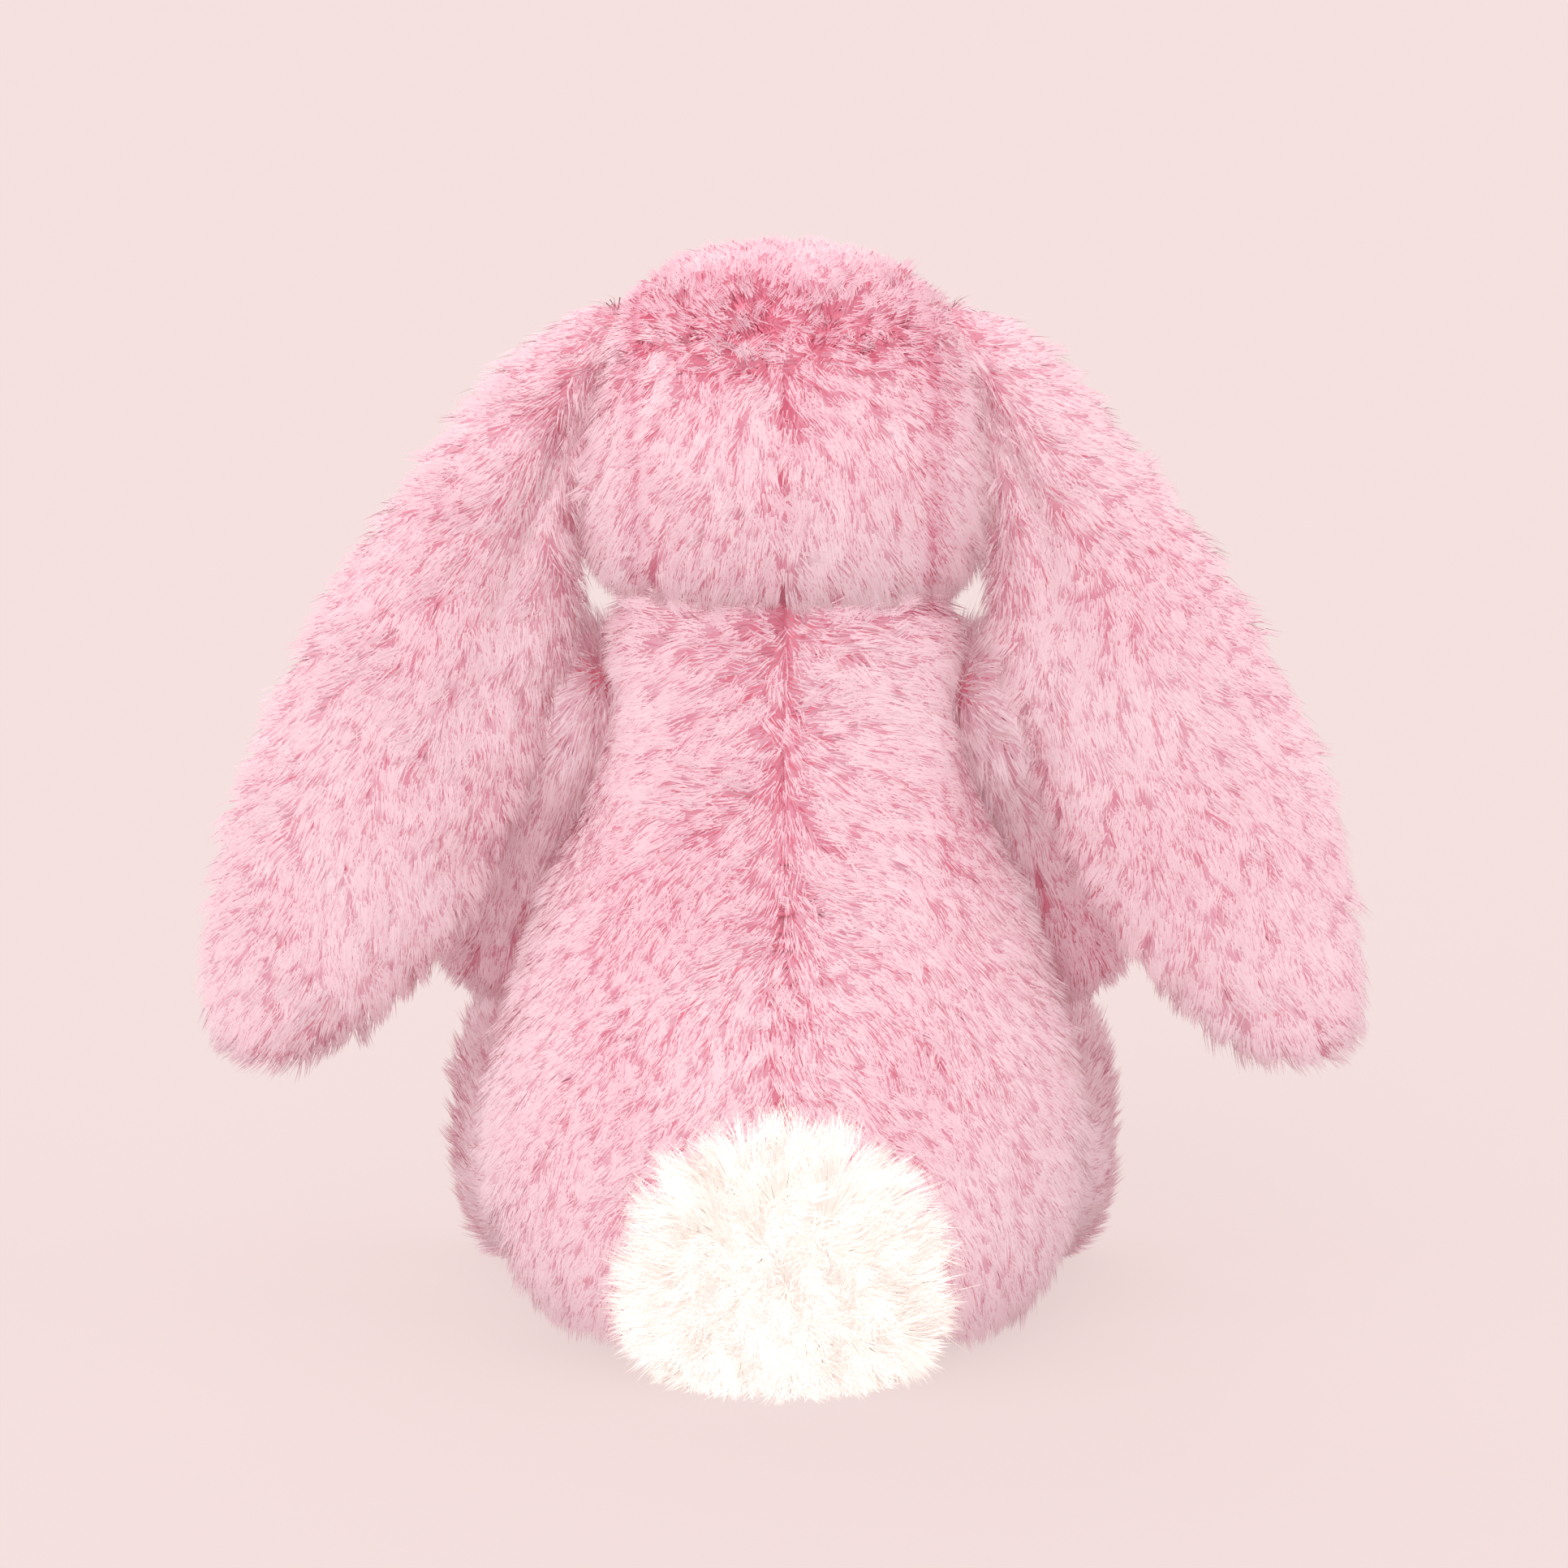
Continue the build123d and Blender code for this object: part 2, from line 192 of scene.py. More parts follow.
def remeshed(obj, voxel, smoothing):
    """Fuse the forms in an object into one even skin."""
    remesh = obj.modifiers.new("fuse", "REMESH")
    remesh.mode = "VOXEL"
    remesh.voxel_size = voxel * MM
    soften = obj.modifiers.new("soften", "SMOOTH")
    soften.factor = 0.5
    soften.iterations = smoothing
    return apply_modifiers(obj)


def puffed(obj, held, cap):
    """Swell a closed skin with the Cloth solver and smooth it once more. held picks the points
    on seams, which stay, and no other point moves further than cap."""
    rest = points_of(obj.data)
    pins = obj.vertex_groups.new(name="seams")
    for i in np.flatnonzero(held(rest)):
        pins.add([int(i)], 1.0, "REPLACE")
    cloth = obj.modifiers.new("filling", "CLOTH")
    cloth.settings.quality = 5
    cloth.settings.mass = 0.3
    cloth.settings.tension_stiffness = 12
    cloth.settings.compression_stiffness = 12
    cloth.settings.bending_stiffness = 0.4
    cloth.settings.use_pressure = True
    cloth.settings.uniform_pressure_force = 4.0
    cloth.settings.vertex_group_mass = "seams"
    cloth.settings.effector_weights.gravity = 0
    for step in range(1, CLOTH_STEPS + 1):
        scene.frame_set(step)
    apply_modifiers(obj)
    scene.frame_set(1)
    moved = points_of(obj.data) - rest
    far = np.linalg.norm(moved, axis=1, keepdims=True)
    moved *= np.minimum(1, cap / np.maximum(far, 1e-6))
    set_points(obj.data, rest + moved)
    obj.vertex_groups.clear()
    obj.modifiers.new("fine", "SUBSURF").levels = 1
    return apply_modifiers(obj)


# ---------------------------------------------------------------- materials


def srgb(text):
    """Linear colour from a web colour."""
    parts = [int(text[i : i + 2], 16) / 255 for i in (1, 3, 5)]
    return tuple(c / 12.92 if c <= 0.04045 else ((c + 0.055) / 1.055) ** 2.4 for c in parts)


def shader(name, rough=0.8):
    material = bpy.data.materials.new(name)
    material.use_nodes = True
    bsdf = material.node_tree.nodes["Principled BSDF"]
    bsdf.inputs["Roughness"].default_value = rough
    return material, bsdf, material.node_tree


def pile_shades(name, colours, count):
    """A run of plain fibre materials from the root's colour to the tip's."""
    stops = np.array([srgb(c) for c in colours])
    made = []
    for i in range(count):
        at = i / (count - 1) * (len(stops) - 1)
        low = min(int(at), len(stops) - 2)
        colour = stops[low] + (at - low) * (stops[low + 1] - stops[low])
        material, bsdf, _ = shader(f"{name}_{i}", 0.75)
        bsdf.inputs["Base Color"].default_value = (*colour, 1)
        bsdf.inputs["Specular IOR Level"].default_value = 0
        made.append(material)
    return made


WAVE_RADIANS = 20  # how fast Blender's wave texture turns over one metre at scale 1


def cloth_material(name, dark, light, thread=0.5, rough=0.9):
    """Knitted backing: a fine rib, uneven dye and a little bump."""
    material, bsdf, tree = shader(name, rough)
    nodes, links = tree.nodes, tree.links
    place = nodes.new("ShaderNodeTexCoord")
    rib = nodes.new("ShaderNodeTexWave")
    rib.inputs["Scale"].default_value = 1 / (thread * MM) / WAVE_RADIANS
    rib.inputs["Distortion"].default_value = 3
    dye = nodes.new("ShaderNodeTexNoise")
    dye.inputs["Scale"].default_value = 60
    both = nodes.new("ShaderNodeMath")
    both.operation = "MULTIPLY_ADD"
    both.inputs[1].default_value = 0.35
    ramp = nodes.new("ShaderNodeValToRGB")
    ramp.color_ramp.elements[0].color = (*srgb(dark), 1)
    ramp.color_ramp.elements[0].position = 0.3
    ramp.color_ramp.elements[1].color = (*srgb(light), 1)
    ramp.color_ramp.elements[1].position = 0.9
    bump = nodes.new("ShaderNodeBump")
    bump.inputs["Strength"].default_value = 0.4
    bump.inputs["Distance"].default_value = 0.0003
    links.new(place.outputs["Object"], rib.inputs["Vector"])
    links.new(place.outputs["Object"], dye.inputs["Vector"])
    links.new(rib.outputs["Fac"], both.inputs[0])
    links.new(dye.outputs["Fac"], both.inputs[2])
    links.new(both.outputs[0], ramp.inputs["Fac"])
    links.new(ramp.outputs["Color"], bsdf.inputs["Base Color"])
    links.new(rib.outputs["Fac"], bump.inputs["Height"])
    links.new(bump.outputs["Normal"], bsdf.inputs["Normal"])
    bsdf.inputs["Sheen Weight"].default_value = 0.3
    return material


PINK = ("#AD5569", "#BB7D8E", "#C59FAB", "#CCB1B9", "#D1BFC6")
WHITE = ("#DDCFC2", "#E4DBD2", "#E8E1D9", "#EBE6DF", "#EDE9E4")
SHADES = 9
pink_pile = pile_shades("pink_pile", PINK, SHADES)
white_pile = pile_shades("white_pile", WHITE, SHADES)
pink_cloth = cloth_material("pink_backing", "#A8495E", "#C0687C")
lining_cloth = cloth_material("lining_backing", "#B86A80", "#CC8698")
white_cloth = cloth_material("white_backing", "#D8C8BC", "#F2E9E2")
fill_fibre = cloth_material("polyester_fibre", "#CFCFCB", "#F4F4F2", 1.2)
pouch_weave = cloth_material("pouch_weave", "#C9C7BE", "#EDEBE4", 0.6)
pellet_plastic = cloth_material("pellet_plastic", "#BDBCB4", "#E9E8E2", 2.0, 0.5)
pink_thread = cloth_material("pink_thread", "#A8495E", "#C0687C", 0.3)
nose_thread = cloth_material("nose_thread", "#8C3350", "#C4607C", 0.3, 0.6)


# ---------------------------------------------------------------- skins and their panels


CLOTH_THICK = 1.1
ON_CUT = 1e-7  # metres: points this near a cut are taken to lie on it


def split_panels(form, cuts, choose):
    """Cut a closed skin along seam planes into cloth panels. choose names each face's panel
    from its middle and its normal."""
    bm = bmesh.new()
    bm.from_mesh(form.data)
    for point, normal in cuts:
        bmesh.ops.bisect_plane(
            bm,
            geom=bm.verts[:] + bm.edges[:] + bm.faces[:],
            plane_co=Vector(point) * MM,
            plane_no=Vector(normal),
            dist=ON_CUT,
        )
    bm.normal_update()
    groups = {}
    for face in bm.faces:
        name = choose(face.calc_center_median() / MM, face.normal)
        groups.setdefault(name, []).append(face)
    panels = {}
    for name, faces in groups.items():
        index, points, made = {}, [], []
        for face in faces:
            ids = []
            for vert in face.verts:
                if vert.index not in index:
                    index[vert.index] = len(points)
                    points.append(tuple(vert.co / MM))
                ids.append(index[vert.index])
            made.append(ids)
        panels[name] = (np.array(points), made)
    bm.free()
    return panels


def cloth_panel(name, node, body, panel, material):
    """A panel with the backing's thickness, standing for its CAD node."""
    points, faces = panel
    obj = new_object(name, points, faces, (material,))
    solid = obj.modifiers.new("thickness", "SOLIDIFY")
    solid.thickness = CLOTH_THICK * MM
    solid.offset = -1
    apply_modifiers(obj)
    obj.data.shade_smooth()
    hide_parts(node)
    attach(obj, body)


def scattered(points, faces, normals, per_mm2):
    """Evenly random points on a panel, with its smooth normals."""
    tris = []
    for face in faces:
        for k in range(1, len(face) - 1):
            tris.append((face[0], face[k], face[k + 1]))
    tris = np.array(tris)
    a, b, c = points[tris[:, 0]], points[tris[:, 1]], points[tris[:, 2]]
    area = np.linalg.norm(np.cross(b - a, c - a), axis=1) / 2
    count = int(area.sum() * per_mm2)
    draws = (np.arange(count) + rng.random(count)) / count
    chosen = np.searchsorted(np.cumsum(area) / area.sum(), draws)
    chosen = np.minimum(chosen, len(tris) - 1)
    u, v = rng.random(count), rng.random(count)
    flip = u + v > 1
    u[flip], v[flip] = 1 - u[flip], 1 - v[flip]
    w = 1 - u - v
    weight = np.stack([w, u, v], axis=1)[:, :, None]
    spots = (points[tris[chosen]] * weight).sum(axis=1)
    facing = unit((normals[tris[chosen]] * weight).sum(axis=1))
    return spots, facing


def smooth_normals(points, form):
    """The closed skin's own normals at a panel's points."""
    tree = KDTree(len(form.data.vertices))
    for i, p in enumerate(points_of(form.data)):
        tree.insert(p, i)
    tree.balance()
    whole = normals_of(form.data)
    return whole[[tree.find(p)[1] for p in points]]


def tangent(way, normals):
    return unit(way - (way * normals).sum(axis=1, keepdims=True) * normals)


def turned(way, normals, angle):
    """way turned about normals by angle."""
    side = np.cross(normals, way)
    return way * np.cos(angle)[:, None] + side * np.sin(angle)[:, None]


def strand_points(root, normal, way, length, rise, lay, bend):
    """Root, bend and tip of each strand, which leans over from rise at its root to lay at its tip."""
    at, out = root, [root]
    for share, angle in ((bend, 0.75 * rise + 0.25 * lay), (1 - bend, 0.2 * rise + 0.8 * lay)):
        step = np.cos(angle)[:, None] * way + np.sin(angle)[:, None] * normal
        at = at + step * (length * share)[:, None]
        out.append(at)
    return out


# A fibre is a ribbon of ten points: four up its outer face and one at its tip, then the same
# again for its inner face
FIBRE_THICK = 0.03
FIBRE_POINTS = 10
FIBRE_TIP = 4
FIBRE_FACES = ((0, 1, 3, 2), (2, 3, 4), (6, 5, 7, 8), (8, 7, 9))
FIBRE_CORNERS = sum(len(face) for face in FIBRE_FACES)
# First point, side, and how far that side takes the light by its own direction, not the skin's
FIBRE_SIDES = ((0, 1, 0.8), (5, -1, 2.5))
LOWEST_FIBRE = 0.2
# How unlike each other the tufts are, and the fibres in a tuft: turns are in radians and
# stands, which lift the whole fibre, in degrees
TUFT_TURN = 0.26
FIBRE_TURN = 0.13
TUFT_STAND = 6.5
FIBRE_STAND = 4.5
LENGTH_SPREAD = 0.10
# How far the brushing wanders over a panel, in radians, and from place to place
WANDER = 0.35
WANDER_SIZE = 13
# Steps along a run of shades from which the lower and the upper half of a fibre start: the deeper
# lower half is partly the fibres' own colour and partly painted shade between the tufts, as the
# fibres cast no shadows. Also the size of a paler or deeper patch
ROOT_SHADE = 2.2
TIP_SHADE = 5.4
SHADE_SIZE = 22


def grow(
    name,
    body,
    slot,
    panel,
    normals,
    flow,
    shades,
    per_mm2=4.6,
    length=7.4,
    rise=58.0,
    lay=22.0,
    clump=2.1,
    gather=0.42,
    width=0.3,
    tone=None,
    trim=None,
    ruffle=None,
):
    """The pile of one panel: tapered flat fibres in tufts, as one mesh in several shades.

    A fibre leaves the cloth at rise degrees and lies over to lay degrees at its tip, the way
    that flow gives. clump is a tuft's width, and gather is how far a fibre is drawn towards
    its tuft's middle. Three functions of place and normal vary it: tone makes it paler by
    steps of shade, trim gives a further lift in radians and a share of the length, and ruffle
    makes the tufts more unruly."""
    points, faces = panel
    root, normal = scattered(points, faces, normals, per_mm2)
    count = len(root)
    seed = int(rng.integers(1 << 30))

    # Each tuft has a direction, lift and shade of its own
    tuft_root, tuft_normal = scattered(points, faces, normals, 1.15 / clump**2)
    tufts = len(tuft_root)
    tree = KDTree(tufts)
    for i, p in enumerate(tuft_root):
        tree.insert(p, i)
    tree.balance()
    wobble = root + 0.25 * clump * rng.normal(size=root.shape)
    mine = np.array([tree.find(p)[1] for p in wobble])

    def settle(at, facing, turn, stand, size):
        way = tangent(flow(at, facing), facing)
        way = turned(way, facing, WANDER * smooth_noise(at, WANDER_SIZE, seed) + turn)
        lift = np.radians(rise) + stand
        bed = np.radians(lay) + 0.8 * stand
        longer = length * size
        if trim is not None:
            up, reach = trim(at, facing)
            lift, bed, longer = lift + up, bed + up, longer * reach
        return way, lift, bed, longer

    unruly = 1 if ruffle is None else 1 + ruffle(tuft_root, tuft_normal)
    tuft_turn = TUFT_TURN * unruly * rng.normal(size=tufts)
    tuft_stand = np.radians(TUFT_STAND) * unruly**0.5 * rng.normal(size=tufts)
    tuft_size = 1 + LENGTH_SPREAD * rng.normal(size=tufts)
    way, lift, bed, longer = settle(tuft_root, tuft_normal, tuft_turn, tuft_stand, tuft_size)
    guide = strand_points(tuft_root, tuft_normal, way, longer, lift, bed, np.full(tufts, 0.55))
    turn = tuft_turn[mine] + FIBRE_TURN * rng.normal(size=count)
    stand = tuft_stand[mine] + np.radians(FIBRE_STAND) * rng.normal(size=count)
    size = tuft_size[mine] * (1 + LENGTH_SPREAD * rng.normal(size=count))
    way, lift, bed, longer = settle(root, normal, turn, stand, size)
    line = strand_points(root, normal, way, longer, lift, bed, 0.45 + 0.2 * rng.random(count))

    # Fibres are drawn to their tuft, and those that reach the floor lie on it unevenly
    pull = gather * (0.75 + 0.25 * rng.random(count))
    for k, reach in ((1, 0.5), (2, 1.0)):
        line[k] = line[k] + (guide[k][mine] - line[k]) * (pull * reach)[:, None]
        line[k][:, 2] = np.maximum(line[k][:, 2], LOWEST_FIBRE + 0.05 + 0.5 * rng.random(count))

    facing = unit(normal + 0.3 * rng.normal(size=normal.shape))
    broad = (width * (0.8 + 0.4 * rng.random(count)))[:, None]
    verts = np.zeros((count, FIBRE_POINTS, 3))
    soft = np.zeros((count, FIBRE_POINTS, 3))
    for k, share in ((0, 0.5), (1, 0.42)):
        along = unit(line[k + 1] - line[k])
        side = unit(np.cross(along, facing))
        flat = np.cross(side, along)
        for first, sign, own in FIBRE_SIDES:
            spot = line[k] + sign * FIBRE_THICK / 2 * flat
            verts[:, first + 2 * k] = spot - side * broad * share
            verts[:, first + 2 * k + 1] = spot + side * broad * share
            for corner in (2 * k, 2 * k + 1, FIBRE_TIP):
                soft[:, first + corner] = unit(normal + sign * own * flat)
    for first, _, _ in FIBRE_SIDES:
        verts[:, first + FIBRE_TIP] = line[2]
    verts[:, :, 2] = np.maximum(verts[:, :, 2], LOWEST_FIBRE)

    # The shade of each half varies over the panel, from tuft to tuft and from fibre to fibre
    shade = 0.6 * smooth_noise(root, SHADE_SIZE, seed + 1) + 0.45 * rng.normal(size=tufts)[mine]
    shade = shade + 0.35 * rng.normal(size=count)
    if tone is not None:
        pale = tone(root, normal)
        shade = shade * (1 - 0.5 * np.clip(pale, 0, 1)) + pale
    slots = np.stack([shade + half for half in (ROOT_SHADE, TIP_SHADE) * 2], axis=1)
    slots = np.clip(np.round(slots), 0, len(shades) - 1).astype(np.int32)

    number = np.arange(count)[:, None]
    corners = np.concatenate([number * FIBRE_POINTS + face for face in FIBRE_FACES], axis=1).ravel()
    face_starts = np.cumsum([0] + [len(face) for face in FIBRE_FACES[:-1]])
    starts = number * FIBRE_CORNERS + face_starts
    mesh = bpy.data.meshes.new(name)
    mesh.vertices.add(count * FIBRE_POINTS)
    mesh.vertices.foreach_set("co", (verts * MM).astype(np.float32).ravel())
    mesh.loops.add(count * FIBRE_CORNERS)
    mesh.loops.foreach_set("vertex_index", corners.astype(np.int32))
    mesh.polygons.add(count * len(FIBRE_FACES))
    mesh.polygons.foreach_set("loop_start", starts.ravel().astype(np.int32))
    mesh.polygons.foreach_set("material_index", slots.ravel())
    for material in shades:
        mesh.materials.append(material)
    mesh.update(calc_edges=True)
    mesh.shade_smooth()
    mesh.normals_split_custom_set_from_vertices(soft.reshape(-1, 3).tolist())
    obj = bpy.data.objects.new(name, mesh)
    # Shadows of fibres this thick would be dark streaks. The cloth under them casts the shadows
    obj.visible_shadow = False
    obj.visible_diffuse = False
    scene.collection.objects.link(obj)
    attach(obj, body)


def dress(form, body, cuts, choose, flow, panels, **pile):
    """Cloth panels and pile of one stuffed part. panels holds what a panel has of its own."""
    for key, panel in sorted(split_panels(form, cuts, choose).items()):
        look = dict(pile)
        look.update(panels.get(key, {}))
        cloth = look.pop("cloth", pink_cloth)
        slot = look.pop("slot", "pink_plush")
        shades = look.pop("shades", pink_pile)
        normals = smooth_normals(panel[0], form)
        cloth_panel(f"{key}_cloth", key, body, panel, cloth)
        grow(f"{key}_pile", body, slot, panel, normals, flow, shades, **look)


def filling(form, name, node, body, shrink, lump, size, material=fill_fibre):
    """What lies inside: the form drawn in and made uneven, standing for its CAD node."""
    mesh = form.data.copy()
    points, normals = points_of(mesh), normals_of(mesh)
    uneven = shrink + lump * smooth_noise(points, size, 7)
    set_points(mesh, points - normals * uneven[:, None])
    mesh.materials.clear()
    mesh.materials.append(material)
    mesh.shade_smooth()
    obj = bpy.data.objects.new(name, mesh)
    scene.collection.objects.link(obj)
    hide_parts(node)
    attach(obj, body)


def drop(form):
    mesh = form.data
    bpy.data.objects.remove(form)
    bpy.data.meshes.remove(mesh)


# ---------------------------------------------------------------- torso

# Level rings: height, half width, half depth, middle y
TORSO = (
    (0.8, 20, 18, 0),
    (1.6, 30, 27, 0),
    (5, 38, 33, 0),
    (12, 44.5, 38, 0),
    (22, 49.5, 40.5, 0),
    (36, 51.5, 40.5, 0),
    (50, 50, 39, 0),
    (66, 45.5, 36, 0),
    (80, 41, 33, 0),
    (94, 36, 30.5, 0),
    (108, 31, 28, -0.5),
    (118, 29, 26, -1),
    (128, 28, 24, -1),
    (134, 26, 22, -1),
    (140, 20, 17, -1),
)
SEAT_SEAM = 8  # height of the seam round the seat
BELLY_SEAM = -2  # y of the seams between the belly and the back


def near_back_seam(p, width, seed=3):
    """Up to 1 on the wavering, broken parting down the middle of the back, 0 away from it."""
    high = np.stack([0 * p[:, 2], 0 * p[:, 2], p[:, 2]], axis=1)
    middle = 1.3 * smooth_noise(high, 9, seed)
    open_here = np.clip(0.5 + smooth_noise(high, 3, seed + 1), 0.05, 1)
    return open_here * np.exp(-(((p[:, 0] - middle) / width) ** 2)) * (p[:, 1] > 0)


def torso_flow(p, n):
    """Away from the seam down the back and downwards, but upwards near the neck."""
    x, z = p[:, 0], p[:, 2]
    edge = np.abs(x) / 50
    upper = np.clip((z - 70) / 40, 0, 1)
    down = 0.2 + 0.7 * edge + 0.5 * (1 - upper)
    out = np.tanh(x / 5) * (0.75 + 0.45 * upper - 0.3 * edge)
    crest = np.clip((z - 122) / 10, 0, 1)
    return np.stack([out, 0.3 * n[:, 1], -down * (1 - 1.3 * crest)], axis=1)


def torso_tone(p, n):
    """Painted shade: deeper in the seam, at the neck and on the seat. Painted light: paler at the
    sides. Paler low down too.
    """
    z = p[:, 2]
    seam = near_back_seam(p, 2.0) * np.clip((z - 42) / 8, 0, 1)
    seam = seam * np.clip((131 - z) / 10, 0.1, 1)
    side = np.clip(np.abs(p[:, 0]) / 50, 0, 1) ** 2
    neck = np.clip((z - 126) / 8, 0, 1)
    low = np.clip((66 - z) / 30, 0, 1)
    seat = np.clip((8 - z) / 8, 0, 1)
    # Painted shade in the seam, at the neck and on the seat; painted light at the sides
    return -1.9 * seam + 0.9 * side + 0.4 * low * (1 - seam) - 0.4 * neck - seat


def torso_trim(p, n):
    """Up beside the seam, flat and short near the floor and beside the arms."""
    z = p[:, 2]
    seam = near_back_seam(p, 3.0)
    low = np.clip((10 - z) / 10, 0, 1)
    upper = np.clip((z - 80) / 30, 0, 1)
    flank = np.clip((np.abs(p[:, 0]) - 20) / 9, 0, 1) * np.clip((z - 84) / 14, 0, 1)
    flank = flank * np.clip((129 - z) / 7, 0.2, 1)
    reach = (0.92 + 0.16 * upper) * (1 - 0.35 * seam) * (1 - 0.5 * low) * (1 - 0.45 * flank)
    return 0.2 * seam - 0.4 * low - 0.35 * flank, reach


def torso_ruffle(p, n):
    """Unruly beside the seam and at the neck."""
    return 2.0 * near_back_seam(p, 6.0) + 1.2 * np.clip((p[:, 2] - 124) / 8, 0, 1)


def torso_panel(middle, normal):
    if middle[2] < SEAT_SEAM:
        return "torso_seat"
    if middle[1] < BELLY_SEAM:
        return "torso_belly"
    return "torso_back_left" if middle[0] > 0 else "torso_back_right"


def torso_held(p):
    """The back's seam, the flat bottom and the neck."""
    back_seam = (np.abs(p[:, 0]) < 2) & (p[:, 1] > 0) & (p[:, 2] > 30)
    return back_seam | (p[:, 2] < 2.5) | (p[:, 2] > 132)


torso = remeshed(joined("torso", level_rings(TORSO, 2.15)), 3.0, 4)
torso = puffed(torso, torso_held, 1.6)
filling(torso, "torso_filling", "torso_stuffing", "torso", 2.4, 0.7, 12)
dress(
    torso,
    "torso",
    (
        ((0, 0, SEAT_SEAM), (0, 0, 1)),
        ((0, BELLY_SEAM, 0), (0, 1, 0)),
        ((0, 0, 0), (1, 0, 0)),
    ),
    torso_panel,
    torso_flow,
    {
        "torso_seat": {"per_mm2": 2.0, "length": 4.0, "rise": 30.0},
        "torso_belly": {"per_mm2": 2.0, "width": 0.38},
    },
    tone=torso_tone,
    trim=torso_trim,
    ruffle=torso_ruffle,
    per_mm2=3.8,
)
drop(torso)

# ---------------------------------------------------------------- head

# Level rings of the head, and a path through the muzzle: x, y, z, radius
HEAD = (
    (138.8, 22, 20, -3),
    (140.6, 28.5, 26.5, -4),
    (144.5, 32, 31, -4),
    (151, 33.6, 33.5, -4),
    (158, 34, 35, -4),
    (166, 33.8, 35, -4),
    (175, 32.2, 33.5, -4),
    (183, 29.3, 30.5, -3.5),
    (190, 24, 25.5, -3),
    (195, 16, 17, -3),
    (197.2, 5, 6, -3),
)
MUZZLE = (
    (0, -20, 158, 15),
    (0, -30, 158, 15.5),
    (0, -38, 157.8, 14),
    (0, -44, 157.8, 10.8),
    (0, -47.3, 157.8, 6.5),
    (0, -48.4, 157.8, 2.5),
)
SIDE_SEAM = 22  # how far out the seams on each side of the head's middle are
FACE_SEAM = -2  # y of the seam between the face and the back of the head
EYE_AT = (27, 170)  # x and height of the left eye
NOSE_HEIGHT = 160


def head_flow(p, n):
    """Down and outwards, over to the front above the crown, and back from the nose on the face."""
    x, y, z = p[:, 0], p[:, 1], p[:, 2]
    front = np.clip((-y - 12) / 18, 0, 1) * np.clip((182 - z) / 10, 0, 1)
    out = np.tanh(x / 6) * (0.3 + 0.25 * np.abs(x) / 30)
    over = np.clip((z - 184) / 6, 0, 1)
    back_way = np.stack([out, -over, -1 + 1.4 * over], axis=1)
    brow = np.clip((z - 165) / 7, 0, 1)
    rise = 0.04 * (z - NOSE_HEIGHT) * (1 - brow) - 0.8 * brow
    face_way = np.stack([0.9 * x / 20, 1 - 0.8 * brow, rise], axis=1)
    return back_way * (1 - front[:, None]) + face_way * front[:, None]


def crown(p):
    """1 where the pile stands up and shows its deeper roots and the shade between its tufts, high on
    the back of the head.
    """
    x, y, z = p[:, 0], p[:, 1], p[:, 2]
    ragged = 4 * smooth_noise(p, 7, 11)
    band = np.clip((z + ragged - 174) / 9, 0, 1) * np.clip((194 + 0.4 * ragged - z) / 3, 0, 1)
    return band * np.clip((29 + ragged - np.abs(x - 2)) / 8, 0, 1) * (y > 2)


def crease(p):
    """1 beside the seams that run over the head on each side of its middle."""
    return np.exp(-(((np.abs(p[:, 0]) - SIDE_SEAM - 1.5) / 1.5) ** 2)) * (p[:, 1] > FACE_SEAM)


def head_tone(p, n):
    """Painted shade: deeper on the crown, in the creases and down the middle. Painted light: paler
    at the sides and on top.
    """
    z, high = p[:, 2], crown(p)
    middle = near_back_seam(p, 1.7, 6) * np.clip((178 - z) / 6, 0, 1)
    middle = middle * np.clip((z - 150) / 8, 0, 1)
    fold = crease(p) * (0.7 + 0.5 * smooth_noise(p, 6, 12))
    side = np.clip(np.abs(p[:, 0]) / 34, 0, 1) ** 2
    top = np.clip((z - 191) / 4, 0, 1) * (1 - high)
    # Painted shade on the crown, in the creases and down the middle; painted light at the sides and
    # on top
    return -0.1 + 0.5 * side + 0.3 * top - 2.0 * middle - 2.4 * fold - 1.3 * high


def feature(p):
    """1 beside an eye or the nose, where the pile is clipped short."""
    x, y, z = np.abs(p[:, 0]), p[:, 1], p[:, 2]
    eye = np.exp(-((x - EYE_AT[0]) ** 2 + (z - EYE_AT[1]) ** 2) / 50)
    nose = np.exp(-(x**2 + (z - NOSE_HEIGHT) ** 2) / 50)
    return np.clip(1.4 * (eye + nose), 0, 1) * (y < -5)


def head_trim(p, n):
    """Up on the crown, flatter on top, short on the face and shorter beside its features."""
    high, clipped = crown(p), feature(p)
    face = np.clip((-p[:, 1] - 22) / 14, 0, 1)
    top = np.clip((p[:, 2] - 184) / 8, 0, 1)
    reach = (1 - 0.15 * top) * (1 - 0.42 * face) * (1 - 0.25 * high) * (1 - 0.4 * crease(p))
    up = 0.2 * high - 0.3 * top * (1 - high) - 0.5 * clipped
    return up, reach * (1 - 0.5 * clipped)


def head_ruffle(p, n):
    """Unruly on the crown and beside the seam down the middle."""
    return 3.2 * crown(p) + 1.8 * near_back_seam(p, 5.0, 6)


def head_panel(middle, normal):
    side = "left" if middle[0] > 0 else "right"
    if abs(middle[0]) > SIDE_SEAM:
        return f"head_side_{side}"
    return f"head_back_{side}" if middle[1] > FACE_SEAM else "head_face"


def head_held(p):
    """The seams on each side of the middle, the seam down the middle, and the neck."""
    x, y, z = np.abs(p[:, 0]), p[:, 1], p[:, 2]
    side_seams = (np.abs(x - SIDE_SEAM - 1) < 1.6) & (y > FACE_SEAM)
    return side_seams | (x < 1.6) & (y > 0) & (z < 186) | (z < 143.5)


